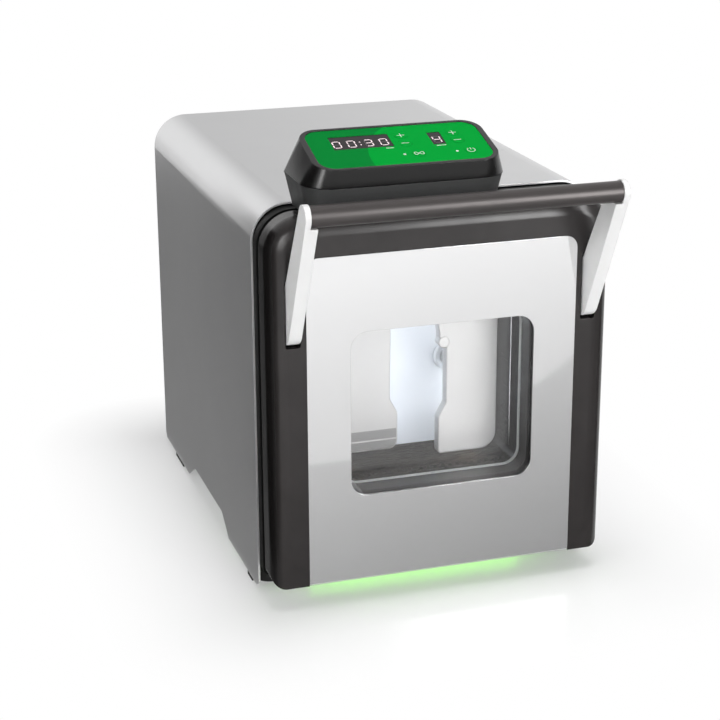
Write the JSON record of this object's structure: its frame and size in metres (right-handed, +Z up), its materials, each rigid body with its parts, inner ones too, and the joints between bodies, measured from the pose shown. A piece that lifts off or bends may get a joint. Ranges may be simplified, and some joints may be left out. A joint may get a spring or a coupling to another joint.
{
  "type": "paddle blender homogenizer",
  "caption": "Bench paddle blender: silver casing, windowed drop-down door with a latch handle, two beating paddles in a steel chamber and a tilted control unit on top.",
  "frame": {"origin": "on the bench, at the middle of the machine's width and of its depth over the handle", "axes": "+X to the right seen from the front, +Y from the door to the rear, +Z up"},
  "size_m": [0.26, 0.4216, 0.3481],
  "materials": {
    "casing_silver": "satin silver lacquer",
    "frame_anthracite": "satin moulded plastic",
    "face_silver": "glossy silver sheet",
    "window_clear": "clear polished pane",
    "black_rubber": "matt rubber",
    "stainless": "satin stainless steel",
    "chamber_bright": "bright white enamel",
    "arm_white": "satin white plastic",
    "bar_tube": "dark anodised tube",
    "label_green": "printed membrane",
    "display_black": "smoked display window",
    "unit_gloss": "semi-gloss moulded plastic",
    "unit_matt": "fine-grained matt plastic",
    "cast_aluminium": "cast and machined",
    "steel_bright": "ground steel",
    "zinc_plate": "zinc-plated sheet",
    "bearing_bronze": "sintered bronze",
    "motor_paint": "black motor lacquer",
    "light_green": "translucent light bar",
    "inlet_black": "black moulded plastic",
    "board_green": "circuit board",
    "chamber_steel": "satin drawn steel",
    "seal_white": "white sealing plastic",
    "gasket_pale": "translucent silicone"
  },
  "bodies": {
    "base": {"outer_cover": "casing_silver", "base_plate": "zinc_plate", "rubber_feet": "black_rubber", "rear_panel": "casing_silver", "rear_screws": "steel_bright", "power_inlet": "inlet_black", "power_supply": "zinc_plate", "front_frame": "frame_anthracite", "striker_pins": "steel_bright", "hinge_pins": "steel_bright", "chamber_liner": "chamber_steel", "chamber_shield": "chamber_bright", "drip_tray": "stainless", "under_light": "light_green", "rod_seals": "seal_white", "guide_block": "cast_aluminium", "guide_bushings": "bearing_bronze", "bearing_stands": "cast_aluminium", "shaft_bearings": "steel_bright", "drive_belt": "black_rubber", "motor": "motor_paint", "motor_bracket": "zinc_plate", "control_pedestal": "unit_matt", "control_housing": "unit_gloss", "keypad_label": "label_green", "control_board": "board_green", "time_display": "display_black", "speed_display": "display_black"},
    "door": {"door_frame": "frame_anthracite", "door_face_plate": "face_silver", "door_inner_panel": "frame_anthracite", "window_panes": "window_clear", "pane_gasket": "gasket_pale", "bag_grip": "black_rubber", "panel_screws": "steel_bright", "lever_pivots": "steel_bright", "latch_springs": "steel_bright"},
    "handle": {"handle_bar": "bar_tube", "left_lever_arm": "arm_white", "right_lever_arm": "arm_white", "left_latch_hook": "steel_bright", "right_latch_hook": "steel_bright"},
    "right_beater": {"right_paddle": "stainless", "right_rod": "steel_bright", "right_yoke": "cast_aluminium"},
    "left_beater": {"left_paddle": "stainless", "left_rod": "steel_bright", "left_yoke": "cast_aluminium"},
    "crank": {"crankshaft": "steel_bright", "throw_rings": "steel_bright", "driven_pulley": "cast_aluminium"},
    "motor_rotor": {"motor_shaft": "steel_bright", "motor_pulley": "cast_aluminium"},
    "mains_switch": {"mains_rocker": "inlet_black"},
    "time_up_button": {"time_up_key": "label_green"},
    "time_down_button": {"time_down_key": "label_green"},
    "speed_up_button": {"speed_up_key": "label_green"},
    "speed_down_button": {"speed_down_key": "label_green"},
    "continuous_button": {"continuous_key": "label_green"},
    "power_button": {"power_key": "label_green"}
  },
  "joints": [
    {"name": "door_hinge", "type": "hinge", "parent": "base", "child": "door", "pos_m": [0, -0.1444, 0.027], "axis": [1, 0, 0], "range_deg": [0, 80]},
    {"name": "handle_hinge", "type": "hinge", "parent": "door", "child": "handle", "pos_m": [0, -0.1504, 0.219], "axis": [1, 0, 0], "range_deg": [0, 35], "stiffness_Nm_per_rad": 0.6, "springref_deg": -20.05, "deforming": ["latch_springs"]},
    {"name": "crank_turn", "type": "hinge", "parent": "base", "child": "crank", "pos_m": [0, 0.0136, 0.153], "axis": [1, 0, 0], "range_deg": [0, 120]},
    {"name": "right_beater_slide", "type": "slide", "parent": "base", "child": "right_beater", "axis": [0, 1, 0], "range_m": [0, 0.021]},
    {"name": "left_beater_slide", "type": "slide", "parent": "base", "child": "left_beater", "axis": [0, -1, 0], "range_m": [0, 0.021]},
    {"name": "motor_turn", "type": "hinge", "parent": "base", "child": "motor_rotor", "pos_m": [0, 0.1316, 0.074], "axis": [1, 0, 0], "range_deg": [0, 360]},
    {"name": "mains_rocker_tilt", "type": "hinge", "parent": "base", "child": "mains_switch", "pos_m": [-0.08, 0.2022, 0.098], "axis": [1, 0, 0], "range_deg": [-12, 0]},
    {"name": "time_up_button_press", "type": "slide", "parent": "base", "child": "time_up_button", "axis": [0, 0.284, -0.9588], "range_m": [0, 0.0004], "stiffness_N_per_m": 3000, "springref_m": -0.0002},
    {"name": "time_down_button_press", "type": "slide", "parent": "base", "child": "time_down_button", "axis": [0, 0.284, -0.9588], "range_m": [0, 0.0004], "stiffness_N_per_m": 3000, "springref_m": -0.0002},
    {"name": "speed_up_button_press", "type": "slide", "parent": "base", "child": "speed_up_button", "axis": [0, 0.284, -0.9588], "range_m": [0, 0.0004], "stiffness_N_per_m": 3000, "springref_m": -0.0002},
    {"name": "speed_down_button_press", "type": "slide", "parent": "base", "child": "speed_down_button", "axis": [0, 0.284, -0.9588], "range_m": [0, 0.0004], "stiffness_N_per_m": 3000, "springref_m": -0.0002},
    {"name": "continuous_button_press", "type": "slide", "parent": "base", "child": "continuous_button", "axis": [0, 0.284, -0.9588], "range_m": [0, 0.0004], "stiffness_N_per_m": 3000, "springref_m": -0.0002},
    {"name": "power_button_press", "type": "slide", "parent": "base", "child": "power_button", "axis": [0, 0.284, -0.9588], "range_m": [0, 0.0004], "stiffness_N_per_m": 3000, "springref_m": -0.0002}
  ],
  "couplings": [
    {"joint": "right_beater_slide", "follows": "crank_turn", "m_per_rad": 0.01},
    {"joint": "left_beater_slide", "follows": "crank_turn", "m_per_rad": 0.01},
    {"joint": "motor_turn", "follows": "crank_turn", "ratio": 3}
  ]
}
